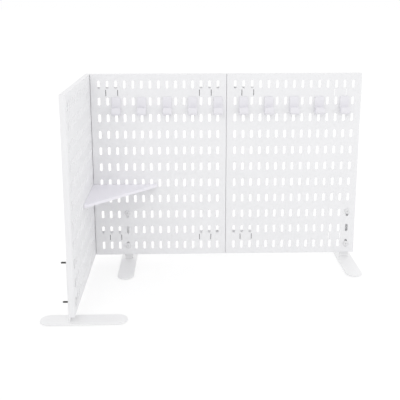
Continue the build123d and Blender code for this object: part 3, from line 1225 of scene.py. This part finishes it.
@dataclass(frozen=True)
class Studio:
    """The pale floor, the soft lamps and the camera at the photograph's angle."""

    lens: float = 56.331
    shift_y: float = -0.18
    eye: tuple[float, float, float] = (0.2206, -1.4595, 0.6294)
    turn: tuple[float, float, float] = (11.963, -1.415, -0.353)
    sky: float = 0.965
    key: float = 8.0
    fill: float = 8.0
    rear: float = 7.0
    lamps_aim: float = 0.2
    floor_reach: float = 30.0
    floor_colour: float = 0.9
    floor_shadow: float = 0.4
    floor_glow: float = 0.665

    def build(self) -> None:
        """Sets up everything round the object."""
        self.place_camera()
        self.lay_floor()
        self.light_sky()
        self.hang_lamp("key", (-1.0, -2.2, 2.2), 1.2, self.key, True)
        self.hang_lamp("fill", (2.6, -1.2, 0.6), 1.8, self.fill, False)
        self.hang_lamp("rear", (0.3, 1.9, 0.6), 2.4, self.rear, False)
        bpy.context.scene.view_settings.view_transform = "Standard"

    def place_camera(self) -> None:
        """Puts the camera where the photograph's perspective says."""
        data = bpy.data.cameras.new("photo_camera")
        data.lens = self.lens
        data.sensor_width = 36.0
        data.shift_y = self.shift_y
        data.clip_end = 100.0
        camera = stand("photo_camera", data)
        pitch, yaw, roll = (math.radians(angle) for angle in self.turn)
        lean = Matrix.Rotation(roll, 3, "Z") @ Matrix.Rotation(yaw, 3, "Y") @ Matrix.Rotation(pitch, 3, "X")
        level = Matrix(((1, 0, 0), (0, 0, -1), (0, 1, 0)))
        flip = Matrix.Diagonal((1, -1, -1))
        aim = (flip @ lean @ level).transposed().to_4x4()
        corner = Vector(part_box("back_left_panel")[0])
        camera.matrix_world = Matrix.Translation(corner + Vector(self.eye)) @ aim
        bpy.context.scene.camera = camera

    @staticmethod
    def seen_by(bench: Bench, other: str) -> Socket:
        """Gives 1 for rays from the camera and for those of another kind, and 0 for the rest."""
        rays = bench.add("ShaderNodeLightPath", {}).node.outputs
        return bench.math("MAXIMUM", rays["Is Camera Ray"], rays[other])

    def lay_floor(self) -> None:
        """Lays a wide white floor that keeps the object's shadow."""
        data = bpy.data.meshes.new("floor")
        far = self.floor_reach
        corners = [(-far, -far, 0), (far, -far, 0), (far, far, 0), (-far, far, 0)]
        data.from_pydata(corners, [], [(0, 1, 2, 3)])
        floor = stand("floor", data)
        material = bpy.data.materials.new("studio_floor")
        material.use_nodes = True
        bench = Bench(material.node_tree)
        nodes = material.node_tree.nodes
        nodes.remove(nodes["Principled BSDF"])
        glow = bench.add("ShaderNodeEmission", {"Strength": self.floor_glow})
        matt, pale = (
            bench.add("ShaderNodeBsdfDiffuse", {"Color": (level, level, level, 1.0)})
            for level in (self.floor_colour, self.floor_colour * self.floor_shadow)
        )
        both = bench.add("ShaderNodeAddShader", {0: glow, 1: pale})
        seen = self.seen_by(bench, "Is Glossy Ray")
        mix = bench.add("ShaderNodeMixShader", {0: seen, 1: matt, 2: both})
        bench.fit(nodes["Material Output"], {"Surface": mix})
        data.materials.append(material)

    def light_sky(self) -> None:
        """Lights the room evenly, and shows it white to the camera."""
        world = bpy.data.worlds.new("studio")
        world.use_nodes = True
        bench = Bench(world.node_tree)
        seen = self.seen_by(bench, "Is Transmission Ray")
        levels = {"Value": seen, "To Min": self.sky, "To Max": 1.0}
        level = bench.add("ShaderNodeMapRange", levels, "Result")
        white = (1.0, 1.0, 1.0, 1.0)
        bench.fit(world.node_tree.nodes["Background"], {"Color": white, "Strength": level})
        bpy.context.scene.world = world

    def hang_lamp(self, name: str, place: Sequence[float], size: float, power: float, shine: bool) -> None:
        """Hangs a square soft lamp that looks at the middle of the object.

        Args:
            name: The lamp's name.
            place: Where it hangs.
            size: Length of its sides.
            power: Its power in watts.
            shine: Whether glossy surfaces mirror it.
        """
        data = bpy.data.lights.new(name, "AREA")
        data.shape = "SQUARE"
        data.size = size
        data.energy = power
        lamp = stand(name, data)
        lamp.location = place
        lamp.visible_glossy = shine
        look = Vector((0, 0, self.lamps_aim)) - Vector(place)
        lamp.rotation_euler = look.to_track_quat("-Z", "Y").to_euler()


@dataclass(frozen=True)
class Divider:
    """The whole object, piece by piece."""

    tray: Tray = Tray()
    foot: Foot = Foot()
    bolts: Bolts = Bolts()
    hook: Hook = Hook()
    shelf: Shelf = Shelf()
    hook_row: int = 2
    left_hooks: tuple[int, ...] = (3, 6, 9, 12, 15)
    right_hooks: tuple[int, ...] = (2, 5, 8, 11, 14)
    shelf_row: int = 7
    shelf_back: tuple[int, ...] = (2, 7)
    shelf_side: tuple[int, ...] = (9, 14)
    left_foot_column: int = 4
    right_foot_column: int = 15
    side_foot_column: int = 1
    connector_rows: tuple[int, int] = (1, 10)
    bolt_middle_row: int = 10
    bolt_rise: float = 0.001
    bolt_spacing: float = 0.085
    upright_above_bolt: float = 0.010

    @staticmethod
    def panel_places() -> dict[str, Matrix]:
        """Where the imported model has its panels.

        Returns:
            From each panel's frame to the model's, by the panel's node.
        """
        places = {}
        for name in ("back_left_panel", "back_right_panel"):
            places[name] = Matrix.Translation(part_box(name)[0])
        low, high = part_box("side_panel")
        quarter = Matrix.Rotation(math.pi / 2, 4, "Z")
        places["side_panel"] = Matrix.Translation((high.x, low.y, low.z)) @ quarter
        return places

    def slots(self, panel: Matrix, columns: Iterable[int], row: int) -> list[Matrix]:
        """From the frame at the lower end of each of some slots in a row to the model's."""
        low = self.tray.row_z(row) - self.tray.slot_length / 2
        return [panel @ Matrix.Translation((self.tray.column_x(column), 0, low)) for column in columns]

    def build(self) -> None:
        """Builds every piece in order."""
        places = self.panel_places()
        back_left = places["back_left_panel"]
        back_right = places["back_right_panel"]
        side = places["side_panel"]
        face = SlottedFace(self.tray)
        for name, place in places.items():
            self.tray.build(name, place, face)
        self.build_connectors(back_left, side)
        self.build_feet({
            "left": (back_left, self.left_foot_column), "right": (back_right, self.right_foot_column),
            "side": (side, self.side_foot_column),
        })
        spots = self.slots(back_left, self.left_hooks, self.hook_row)
        spots += self.slots(back_right, self.right_hooks, self.hook_row)
        for number, spot in enumerate(spots, start=1):
            self.hook.build(f"hook_{number}", spot, self.tray.slot_width, self.tray.slot_length)
        spots = self.slots(back_left, self.shelf_back, self.shelf_row)
        spots += self.slots(side, self.shelf_side, self.shelf_row)
        slip = self.shelf.slip
        corner = Vector((side.translation.x, back_left.translation.y, spots[0].translation.z))
        self.shelf.build("corner_shelf", Matrix.Translation(corner + Vector((slip, -slip, slip))), spots)

    def build_connectors(self, back_left: Matrix, side: Matrix) -> None:
        """Builds the four connectors.

        Args:
            back_left: Place of the back left panel.
            side: Place of the side panel.
        """
        connectors = Connectors(self.tray)
        half_row = self.tray.row_pitch / 2
        for level, row in zip(("top", "bottom"), self.connector_rows):
            z = self.tray.row_z(row) - half_row
            connectors.build(f"{level}_seam_connector", z, back_left, None)
            connectors.build(f"{level}_corner_connector", z, back_left, side)

    def build_feet(self, feet: dict[str, tuple[Matrix, int]]) -> None:
        """Builds the three feet and their bolts.

        Args:
            feet: By the foot's name, the panel's place and the column that it stands at.
        """
        middle = self.tray.row_z(self.bolt_middle_row) + self.bolt_rise
        heights = (middle - self.bolt_spacing / 2, middle + self.bolt_spacing / 2)
        bolt_places = []
        for name, (panel, column) in feet.items():
            at_column = panel @ Matrix.Translation((self.tray.column_x(column), 0, 0))
            lift = panel.translation.z
            place = at_column @ Matrix.Translation((0, 0, -lift))
            top = lift + heights[1] + self.upright_above_bolt
            self.foot.build(name, place, self.tray.depth, top)
            bolt_places += [at_column @ Matrix.Translation((0, 0, height)) for height in heights]
        self.bolts.build(bolt_places)


def main() -> None:
    """Builds the object and the studio round it."""
    logging.basicConfig(level=logging.INFO, format="%(message)s")
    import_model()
    Divider().build()
    Studio().build()


if __name__ == "__main__":
    main()
